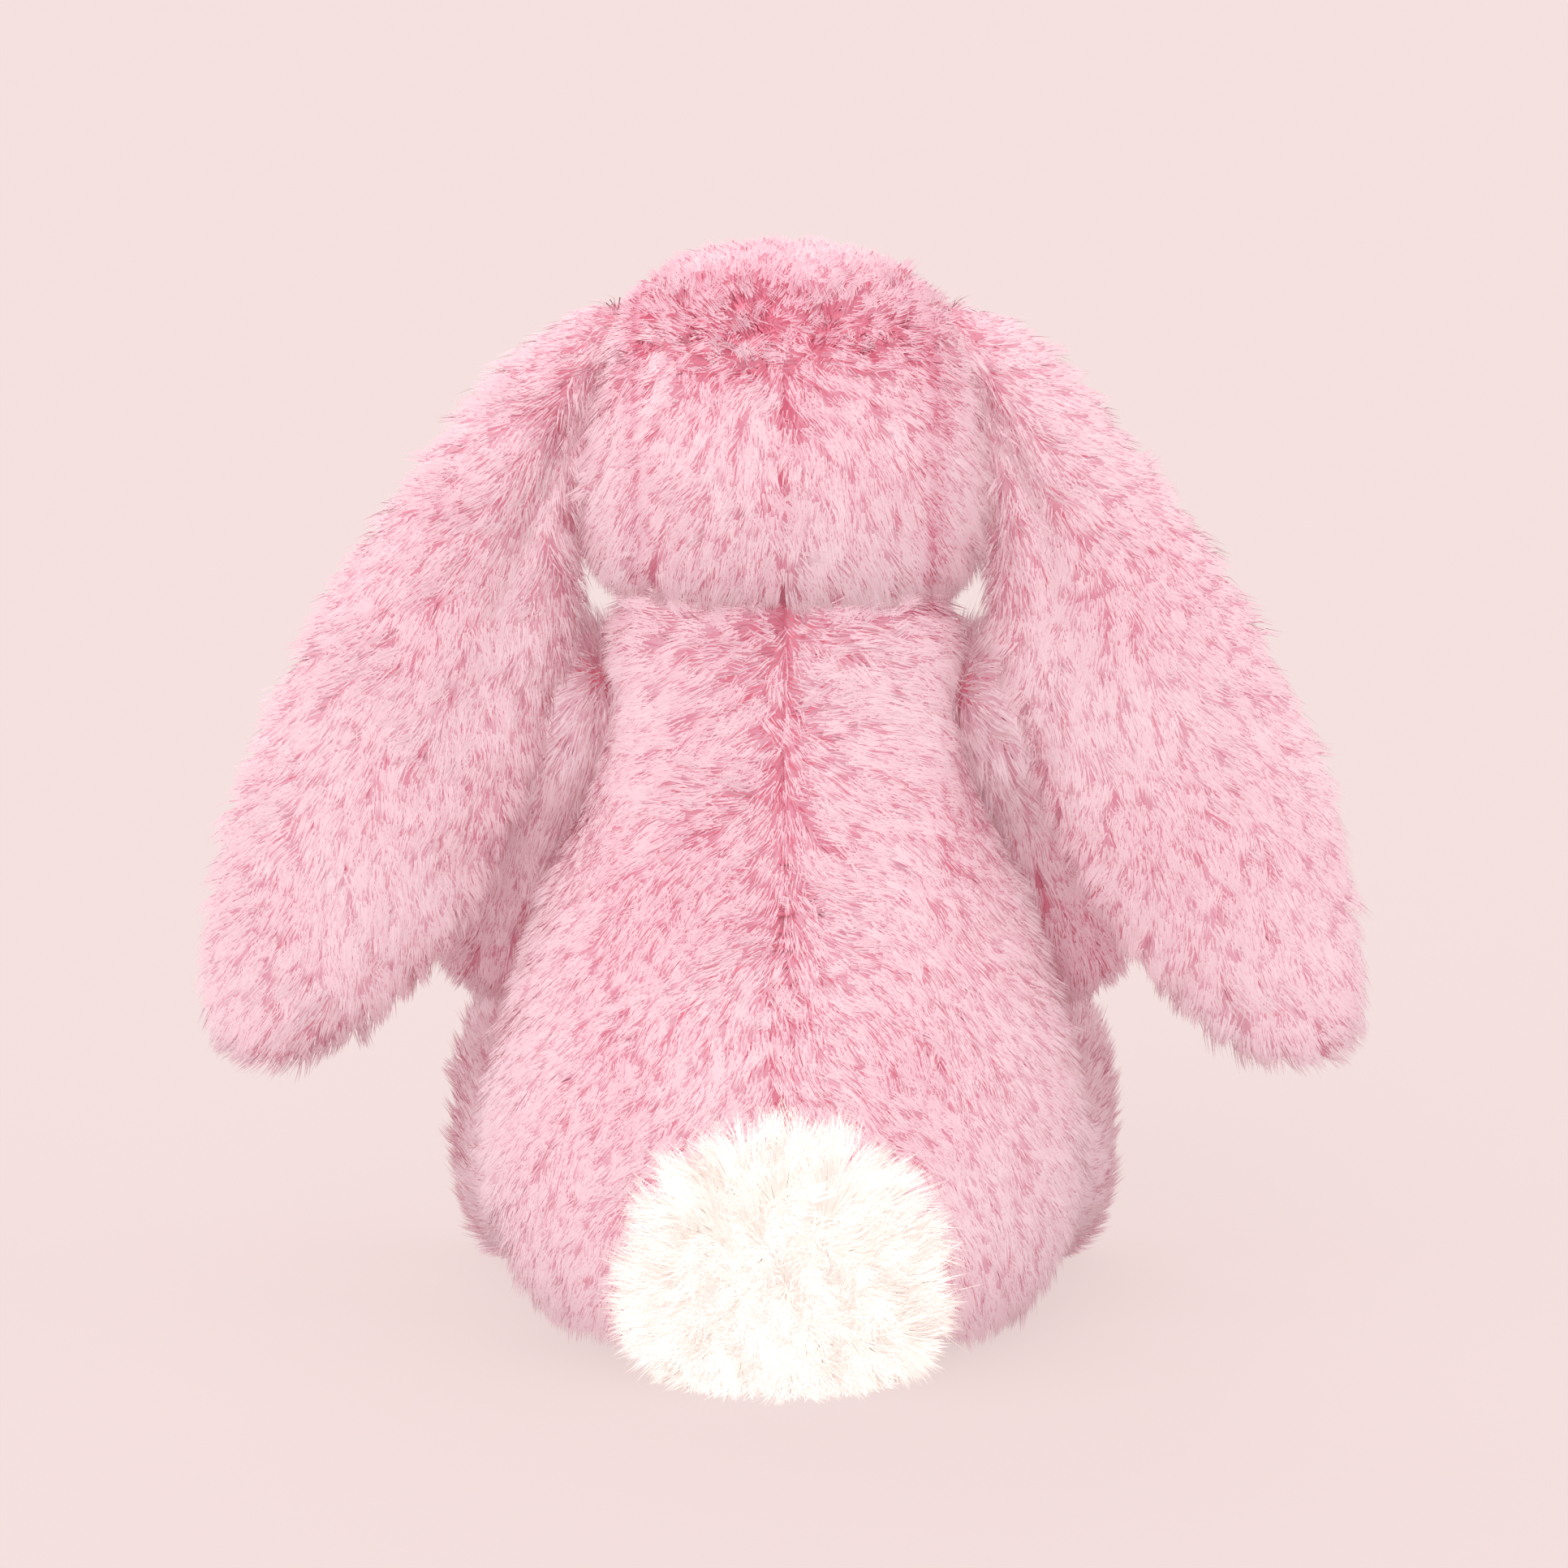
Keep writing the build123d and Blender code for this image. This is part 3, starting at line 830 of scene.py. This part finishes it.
head = remeshed(joined("head", level_rings(HEAD, 2.35), swept_rings(MUZZLE)), 2.6, 6)
head = puffed(head, head_held, 1.4)
filling(head, "head_filling", "head_stuffing", "head", 6.6, 0.6, 10)
dress(
    head,
    "head",
    (
        ((SIDE_SEAM, 0, 0), (1, 0, 0)),
        ((-SIDE_SEAM, 0, 0), (1, 0, 0)),
        ((0, FACE_SEAM, 0), (0, 1, 0)),
        ((0, 0, 0), (1, 0, 0)),
    ),
    head_panel,
    head_flow,
    {},
    length=7.2,
    tone=head_tone,
    trim=head_trim,
    ruffle=head_ruffle,
)
drop(head)

# ---------------------------------------------------------------- ears

# Rows from root to tip: outer edge x, z, inner edge x, z, half thickness, depth of the middle
EAR = (
    (29, 189, 30, 176, 3.5, 3.0),
    (38.5, 184, 34.5, 169, 4.8, 4.5),
    (48, 176, 37, 160, 5.0, 5.5),
    (61, 161, 39, 148, 4.8, 6.0),
    (75.5, 142, 39.5, 132, 4.6, 6.0),
    (87.5, 120, 45.5, 112, 4.4, 6.0),
    (96, 100, 52.5, 93.5, 4.4, 6.0),
    (100.5, 82, 60.5, 79, 4.2, 5.5),
    (102.6, 67, 69, 69, 3.8, 5.0),
    (101, 58, 78, 61, 3.2, 4.5),
    (96.5, 54.2, 87, 55, 1.6, 4.5),
)
ear_rows = smooth_rows(EAR, 4)
ear_mid = (ear_rows[:, 0:2] + ear_rows[:, 2:4]) / 2
ear_half = (ear_rows[:, 0:2] - ear_rows[:, 2:4]) / 2
ear_way = unit(np.gradient(ear_mid, axis=0))


def ear_form(sign):
    """A flat padded leaf, thick in the middle and gathered in a fold towards the root."""
    turn = np.linspace(0, 2 * math.pi, 32, endpoint=False)
    across = np.cos(turn)
    bulge = np.sign(np.sin(turn)) * np.abs(np.sin(turn)) ** 0.8
    fold = np.exp(-(((across + 0.45) / 0.16) ** 2))
    rings = []
    for (x, z), (half_x, half_z), (thick, depth) in zip(ear_mid, ear_half, ear_rows[:, 4:]):
        ring = np.array([x, 0, z]) + np.outer(across, (half_x, 0, half_z))
        gathered = np.clip((z - 100) / 60, 0, 1) * fold
        ring[:, 1] = depth + thick * bulge * (1 - 0.55 * gathered) - 2.5 * across**2
        ring[:, 0] *= sign
        rings.append(ring)
    return joined("ear", ring_mesh(rings))


def ear_spot(p):
    """The row of the ear that each point is nearest to, from 0 at the root, and how far across
    it is, from -1 at the inner edge to 1 at the outer."""
    flat = np.stack([np.abs(p[:, 0]), p[:, 2]], axis=1)
    row = np.argmin(((flat[:, None] - ear_mid[None]) ** 2).sum(axis=2), axis=1)
    half = ear_half[row]
    across = ((flat - ear_mid[row]) * half).sum(axis=1) / (half**2).sum(axis=1)
    return row, np.clip(across, -1, 1)


def ear_flow(p, n):
    """Along the ear, spreading to both edges from a line inside its middle, but less so at the
    root."""
    row, across = ear_spot(p)
    along, out = ear_way[row], unit(ear_half[row])
    upper = np.clip((22 - row) / 14, 0, 1)
    root = np.clip((10 - row) / 8, 0, 1)
    spread = (0.5 + 0.25 * upper) * (across + 0.1 + 0.4 * upper) * (1 - 0.8 * root)
    way = along + spread[:, None] * out
    return np.stack([way[:, 0] * np.sign(p[:, 0]), 0 * n[:, 1], way[:, 1]], axis=1)


def ear_tone(p, n):
    """Painted shade: deeper in the fold near the root and at the inner edge. Else paler away from
    the middle.
    """
    row, across = ear_spot(p)
    fold = np.clip((9 - row) / 5, 0, 1) * np.exp(-(((across + 0.55) / 0.3) ** 2))
    inner_edge_shade = np.clip((-across - 0.7) / 0.3, 0, 1)
    # Painted shade in the fold and at the inner edge
    return 0.5 + 0.4 * across**2 - 1.6 * fold - 0.7 * inner_edge_shade


def ear_trim(p, n):
    """Flatter and shorter at the root, and a little shorter towards the edges."""
    row, across = ear_spot(p)
    root = np.clip((6 - row) / 6, 0, 1)
    return -0.2 * root, (1 - 0.1 * np.abs(across)) * (1 - 0.25 * root)


for side, sign in (("left", 1), ("right", -1)):
    ear = ear_form(sign)
    ear.modifiers.new("fine", "SUBSURF").levels = 1
    apply_modifiers(ear)
    body = f"ear_{side}"
    filling(ear, f"{body}_wadding", f"ear_batting_{side}", body, 1.6, 0.15, 8)
    lining = {
        "cloth": lining_cloth,
        "slot": "ear_lining",
        "length": 5.0,
        "per_mm2": 3.0,
        "lay": 6.0,
    }
    dress(
        ear,
        body,
        (),
        lambda middle, normal: f"ear_back_{side}" if normal[1] > 0 else f"ear_lining_{side}",
        ear_flow,
        {f"ear_lining_{side}": lining},
        length=7.8,
        clump=2.5,
        per_mm2=4.6,
        tone=ear_tone,
        trim=ear_trim,
    )
    drop(ear)

# ---------------------------------------------------------------- arms and legs

# Rows of a path through the arm and the thigh: x, y, z, radius. The foot has level rings
ARM = (
    (33, -7, 124, 3),
    (35, -8, 121.5, 8),
    (39.2, -11, 113, 10.3),
    (43, -16.5, 101, 9.8),
    (46.5, -22.5, 88, 9.8),
    (50, -28.2, 76, 10.4),
    (52.3, -32.2, 68, 9.6),
    (53.3, -33.8, 64.2, 7),
    (53.8, -34.8, 62.4, 3),
)
THIGH = (
    (31.5, -25, 19.5, 5),
    (32.5, -28, 19.5, 10),
    (35, -35, 19, 12.4),
    (39.5, -48, 18, 12.8),
    (43.5, -60, 17.5, 13.2),
    (45.5, -67, 17.5, 11),
    (46, -71, 17.5, 6),
)
FOOT = (
    (1.0, 6, 4, -68),
    (3, 10, 8, -68),
    (9, 13.2, 10.5, -68),
    (18, 14.4, 11, -68),
    (29, 14.6, 10.6, -68.5),
    (40, 13.4, 9.6, -69),
    (48, 10.5, 7.6, -69.5),
    (52.5, 6.4, 5, -70),
    (54, 2.5, 2.2, -70),
)
FOOT_X = 46
ARM_WAY = unit(np.array((13.0, -22.5, -48.0)))
LEG_WAY = unit(np.array((11.0, -33.0, 0.0)))
UP_THE_FOOT = (0, 0.1, 1.0)
SHOULDER_SEAM = np.array((27.0, -4.0, 121.0))
ARM_SEAM_AT = (46, -21.5, 90)  # a point of the plane that parts the outer and the inner arm
ARM_SEAM_ALONG = (0, 0.9, -0.44)  # and a direction in it, across the arm
LEG_SEAM = 41  # how far out the seam between the outer and the inner leg is
SOLE_SEAM = -74  # y of the seam round the sole


def mirrored(form, sign):
    """A form on the left for sign 1, or its mirror on the right for -1."""
    points, faces = form
    return points * (sign, 1, 1), faces


def moved_aside(form, shift):
    points, faces = form
    return points + (shift, 0, 0), faces


def own_side(p):
    """Factors that turn a direction on the left into its mirror where a point is on the right."""
    return np.sign(p[:, 0])[:, None] * (1, 0, 0) + (0, 1, 1)


def leg_flow(p, n):
    """Along the leg, and up the foot."""
    foot = np.clip((-p[:, 1:2] - 56) / 8, 0, 1)
    return LEG_WAY * own_side(p) * (1 - foot) + foot * UP_THE_FOOT


def leg_tone(p, n):
    """Pale all over."""
    return np.full(len(p), 1.1)


def leg_held(p):
    """The hip and the flat underside."""
    return (p[:, 1] > -30) | (p[:, 2] < 2)


def arm_flow(p, n):
    """Down the arm, spreading from the seam at the shoulder."""
    near = np.clip((p[:, 2:] - 84) / 30, 0, 1)
    spread = unit(p - SHOULDER_SEAM * own_side(p))
    return ARM_WAY * own_side(p) * (1 - 0.8 * near) + spread * near


def arm_light_and_shade(p, n):
    """Painted light and shade: paler at the shoulder, whose tufts stand out into the light, than at
    the paw, which lies in the ear's shade.
    """
    # Painted light at the shoulder, painted shade towards the paw
    return 1.4 - 1.8 * np.clip((110 - p[:, 2]) / 42, 0, 1)


def arm_trim(p, n):
    """Longer at the shoulder."""
    return 0.0, 1 + 0.25 * np.clip((p[:, 2] - 98) / 10, 0, 1)


for side, sign in (("left", 1), ("right", -1)):
    arm = remeshed(joined("arm", mirrored(swept_rings(ARM), sign)), 2.4, 3)
    arm = puffed(arm, lambda p: p[:, 2] > 118, 1.2)
    body = f"arm_{side}"
    filling(arm, f"{body}_filling", f"arm_stuffing_{side}", body, 2.2, 0.4, 8)
    outwards = unit(np.cross(ARM_WAY * (sign, 1, 1), ARM_SEAM_ALONG))
    if outwards[0] * sign < 0:
        outwards = -outwards
    at = np.array(ARM_SEAM_AT) * (sign, 1, 1)

    def arm_panel(middle, normal):
        return f"arm_outer_{side}" if (np.array(middle) - at) @ outwards > 0 else f"arm_inner_{side}"

    dress(
        arm,
        body,
        ((tuple(at), tuple(outwards)),),
        arm_panel,
        arm_flow,
        {},
        length=7.4,
        tone=arm_light_and_shade,
        trim=arm_trim,
    )
    drop(arm)

    foot = moved_aside(level_rings(FOOT, 2.2, 32), FOOT_X)
    leg = joined("leg", mirrored(swept_rings(THIGH), sign), mirrored(foot, sign))
    leg = puffed(remeshed(leg, 2.6, 4), leg_held, 1.2)
    body = f"leg_{side}"
    filling(leg, f"{body}_filling", f"leg_stuffing_{side}", body, 2.2, 0.4, 8)

    def leg_panel(middle, normal):
        if middle[1] < SOLE_SEAM:
            return f"foot_sole_{side}"
        return f"leg_outer_{side}" if abs(middle[0]) > LEG_SEAM else f"leg_inner_{side}"

    dress(
        leg,
        body,
        (((0, SOLE_SEAM, 0), (0, 1, 0)), ((LEG_SEAM * sign, 0, 0), (1, 0, 0))),
        leg_panel,
        leg_flow,
        {f"foot_sole_{side}": {"length": 5.0}},
        tone=leg_tone,
        length=6.2,
    )
    drop(leg)

# ---------------------------------------------------------------- tail

TAIL = (
    (1.4, 15, 7, 41.5),
    (2.4, 18.5, 9, 41.5),
    (8, 21, 11, 42),
    (16, 21.5, 11.5, 42),
    (26, 20, 11, 41.5),
    (34, 15.5, 9, 40),
    (39, 8, 5.5, 38.5),
    (40.4, 2.5, 2.5, 38),
)
TAIL_HEART = np.array((0.0, 33.0, 12.0))


def tail_flow(p, n):
    """Out from the tail's heart, with a lean of its own in each tuft."""
    lean = np.stack([smooth_noise(p, 3, seed) for seed in (31, 32, 33)], axis=1)
    return 0.35 * unit(p - TAIL_HEART) + lean


def tail_tone(p, n):
    """Pale all over."""
    return np.full(len(p), 1.0)


def tail_trim(p, n):
    """Shorter at the lower corners, where the tail is squashed on the surface."""
    low = np.clip((11 - p[:, 2]) / 8, 0, 1) * np.clip(np.abs(p[:, 0]) / 16, 0, 1)
    return 0.0, 1 - 0.45 * low


tail = remeshed(joined("tail", level_rings(TAIL, 2.2, 36)), 2.4, 3)
tail = puffed(tail, lambda p: (p[:, 1] < 34) | (p[:, 2] < 3), 1.2)
filling(tail, "tail_filling", "tail_stuffing", "torso", 2.2, 0.4, 8)
dress(
    tail,
    "torso",
    (),
    lambda middle, normal: "tail_cover",
    tail_flow,
    {"tail_cover": {"cloth": white_cloth, "slot": "white_plush", "shades": white_pile}},
    tone=tail_tone,
    trim=tail_trim,
    length=10.5,
    rise=82.0,
    lay=52.0,
    clump=1.8,
    per_mm2=7.6,
    width=0.28,
    gather=0.16,
)
drop(tail)

# ---------------------------------------------------------------- pellets in their pouch

POUCH = (
    (7.5, 16, 12, 0),
    (9.5, 27, 20, 0),
    (15, 33, 25, 0),
    (21, 33.5, 25, 0),
    (27, 26, 19, 0),
    (30, 14, 10, 0),
    (30.6, 4, 3, 0),
)
PELLET_RADIUS = 1.75
PELLET_STEP = 4.2  # from one pellet's middle to the next
HEAP_HALF = (29, 21, 8.6)
HEAP_MIDDLE = (0, 0, 19)

pouch = remeshed(joined("pouch", level_rings(POUCH, 2.2, 36)), 2.6, 2)
filling(pouch, "pouch_cloth", "pellet_pouch", "torso", 0.0, 0.6, 6, pouch_weave)
drop(pouch)
steps = np.arange(-30, 31, PELLET_STEP)
grid = np.stack(np.meshgrid(steps, steps, steps, indexing="ij"), axis=-1).reshape(-1, 3)
grid = grid + rng.uniform(-0.4, 0.4, grid.shape)
inside = ((grid / HEAP_HALF) ** 2).sum(axis=1) < 1
bm = bmesh.new()
for spot in grid[inside]:
    made = bmesh.ops.create_icosphere(bm, subdivisions=1, radius=PELLET_RADIUS * MM)
    bmesh.ops.scale(bm, vec=(1, 1, 0.8), verts=made["verts"])
    bmesh.ops.translate(bm, vec=Vector(spot + HEAP_MIDDLE) * MM, verts=made["verts"])
mesh = bpy.data.meshes.new("pellets")
bm.to_mesh(mesh)
bm.free()
mesh.materials.append(pellet_plastic)
mesh.shade_smooth()
pellets = bpy.data.objects.new("pellets", mesh)
scene.collection.objects.link(pellets)
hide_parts("pellet_fill")
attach(pellets, "torso")

# ---------------------------------------------------------------- threads, nose, mouth and eyes


def threads(name, node, body, paths, radius, material):
    """Sewn threads along paths of points, thinner at their ends, as one mesh."""
    points, faces, base = [], [], 0
    for path in paths:
        rows = [(*p, radius * (1.0 if 0 < i < len(path) - 1 else 0.45)) for i, p in enumerate(path)]
        tube_points, tube_faces = swept_rings(rows, 7, 3)
        points.append(tube_points)
        faces += [tuple(i + base for i in face) for face in tube_faces]
        base += len(tube_points)
    obj = new_object(name, np.concatenate(points), faces, (material,))
    obj.data.shade_smooth()
    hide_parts(node)
    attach(obj, body)


# Ladder stitches that close the back: their number, lowest height and step, and how far back
# the torso's surface is at three heights
STITCHES = 9
STITCH_LOW = 68
STITCH_STEP = 3.0
BACK_HEIGHTS = (66, 80, 94)
BACK_Y = (36.6, 33.6, 31.1)


def stitch_path(number):
    """Across the seam from -X to +X, every other one leaning the other way."""
    z = STITCH_LOW + STITCH_STEP * number
    y = np.interp(z, BACK_HEIGHTS, BACK_Y)
    lean = 0.7 * (-1) ** number
    return [(-2, y - 0.4, z - lean), (-1, y + 0.5, z), (1, y + 0.5, z), (2, y - 0.4, z + lean)]


stitches = [stitch_path(number) for number in range(STITCHES)]
threads("closing_thread", "closing_stitch", "torso", stitches, 0.35, pink_thread)

NOSE_THREADS = 19
NOSE_HALF = 4.6


def nose_path(number):
    """One upright thread of the nose, which is a rounded triangle that bulges forwards."""
    x = -NOSE_HALF + 2 * NOSE_HALF * number / (NOSE_THREADS - 1)
    rise = math.sqrt(max(1 - (x / 5.2) ** 2, 0.02))
    top = 163.6 + 1.2 * rise
    low = 163.2 - 4.4 * rise * (1 - abs(x) / 8)
    middle = (top + low) / 2
    front = -47.0 - 2.2 * rise
    behind = (2.6, 0.2, 0.0, 0.6, 2.4)
    heights = (top, (top + middle) / 2, middle, (low + middle) / 2, low)
    return [(x, front + back, z) for back, z in zip(behind, heights)]


nose_paths = [nose_path(number) for number in range(NOSE_THREADS)]
threads("nose_stitches", "nose", "head", nose_paths, 0.42, nose_thread)
mouth_paths = [
    [(0, -49.0, 159.4), (0, -49.2, 157), (0, -48.8, 154.6)],
    [(0, -48.8, 154.8), (2.6, -48.4, 152.9), (5.2, -46.6, 152.4), (7.2, -44.2, 153.4)],
    [(0, -48.8, 154.8), (-2.6, -48.4, 152.9), (-5.2, -46.6, 152.4), (-7.2, -44.2, 153.4)],
]
threads("mouth_thread", "mouth_stitch", "head", mouth_paths, 0.5, nose_thread)

eye_black, bsdf, tree = shader("eye_black", 0.12)
tint = tree.nodes.new("ShaderNodeTexNoise")
tint.inputs["Scale"].default_value = 900
ramp = tree.nodes.new("ShaderNodeValToRGB")
ramp.color_ramp.elements[0].color = (0.006, 0.004, 0.004, 1)
ramp.color_ramp.elements[1].color = (0.02, 0.013, 0.012, 1)
tree.links.new(tint.outputs["Fac"], ramp.inputs["Fac"])
tree.links.new(ramp.outputs["Color"], bsdf.inputs["Base Color"])
bsdf.inputs["Coat Weight"].default_value = 0.6
for side in ("left", "right"):
    for node, material in ((f"eye_{side}", eye_black), (f"eye_washer_{side}", pellet_plastic)):
        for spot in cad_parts[node].material_slots:
            spot.material = material

# ---------------------------------------------------------------- floor, light and camera

BACKGROUND = srgb("#F5E1DF")
SUNS = (
    # name, where it shines from, strength, apparent size in degrees
    ("key", (0.25, 1.0, 0.6), 1.75, 40),
    ("top", (0.0, 0.1, 1.0), 0.8, 60),
    ("left", (-1.0, 0.3, 0.5), 0.8, 60),
    ("right", (1.0, 0.3, 0.5), 0.8, 60),
    ("front", (0.2, -1.0, 0.6), 1.3, 60),
)
FLOOR_RADIUS = 40000  # so large that the camera never sees its rim
FLOOR_GLOW = 0.75  # the part of the floor's light that no shadow takes away

# The floor takes the colour that makes it look like the background under these suns
sunlight = sum(strength * unit(np.array(way))[2] for _, way, strength, _ in SUNS) / math.pi
floor_material, bsdf, tree = shader("studio_floor", 1.0)
floor_colour = [(1 - FLOOR_GLOW) * c / (c + sunlight) for c in BACKGROUND]
bsdf.inputs["Base Color"].default_value = (*floor_colour, 1)
bsdf.inputs["Emission Color"].default_value = (*BACKGROUND, 1)
bsdf.inputs["Emission Strength"].default_value = FLOOR_GLOW
bsdf.inputs["Specular IOR Level"].default_value = 0
turn = np.linspace(0, 2 * math.pi, 64, endpoint=False)
rim = FLOOR_RADIUS * np.stack([np.cos(turn), np.sin(turn), 0 * turn], axis=1)
new_object("studio_floor", rim, [tuple(range(64))], (floor_material,))

world = bpy.data.worlds.new("studio")
scene.world = world
world.use_nodes = True
sky = world.node_tree.nodes["Background"]
sky.inputs["Color"].default_value = (*BACKGROUND, 1)
sky.inputs["Strength"].default_value = 1.0
for name, way, strength, size in SUNS:
    light = bpy.data.lights.new(name, "SUN")
    light.energy = strength
    light.angle = math.radians(size)
    sun = bpy.data.objects.new(name, light)
    sun.rotation_euler = (-Vector(way)).to_track_quat("-Z", "Y").to_euler()
    scene.collection.objects.link(sun)

# The camera stands behind the rabbit and a little above it, in metres
DISTANCE = 1.3
ELEVATION = math.radians(8.5)
AIM = Vector((0, 0, 0.1014))
VIEW_WIDTH = 0.285  # how much of the scene fits in the picture at the rabbit
SENSOR = 36  # the camera's sensor and lens are in its own millimetres
camera_data = bpy.data.cameras.new("camera")
camera = bpy.data.objects.new("camera", camera_data)
scene.collection.objects.link(camera)
scene.camera = camera
camera.location = AIM + DISTANCE * Vector((0, math.cos(ELEVATION), math.sin(ELEVATION)))
camera.rotation_euler = (AIM - camera.location).to_track_quat("-Z", "Y").to_euler()
camera_data.sensor_width = SENSOR
camera_data.lens = SENSOR * DISTANCE / VIEW_WIDTH
camera_data.clip_start = 0.05
camera_data.clip_end = 30

scene.view_settings.view_transform = "Standard"
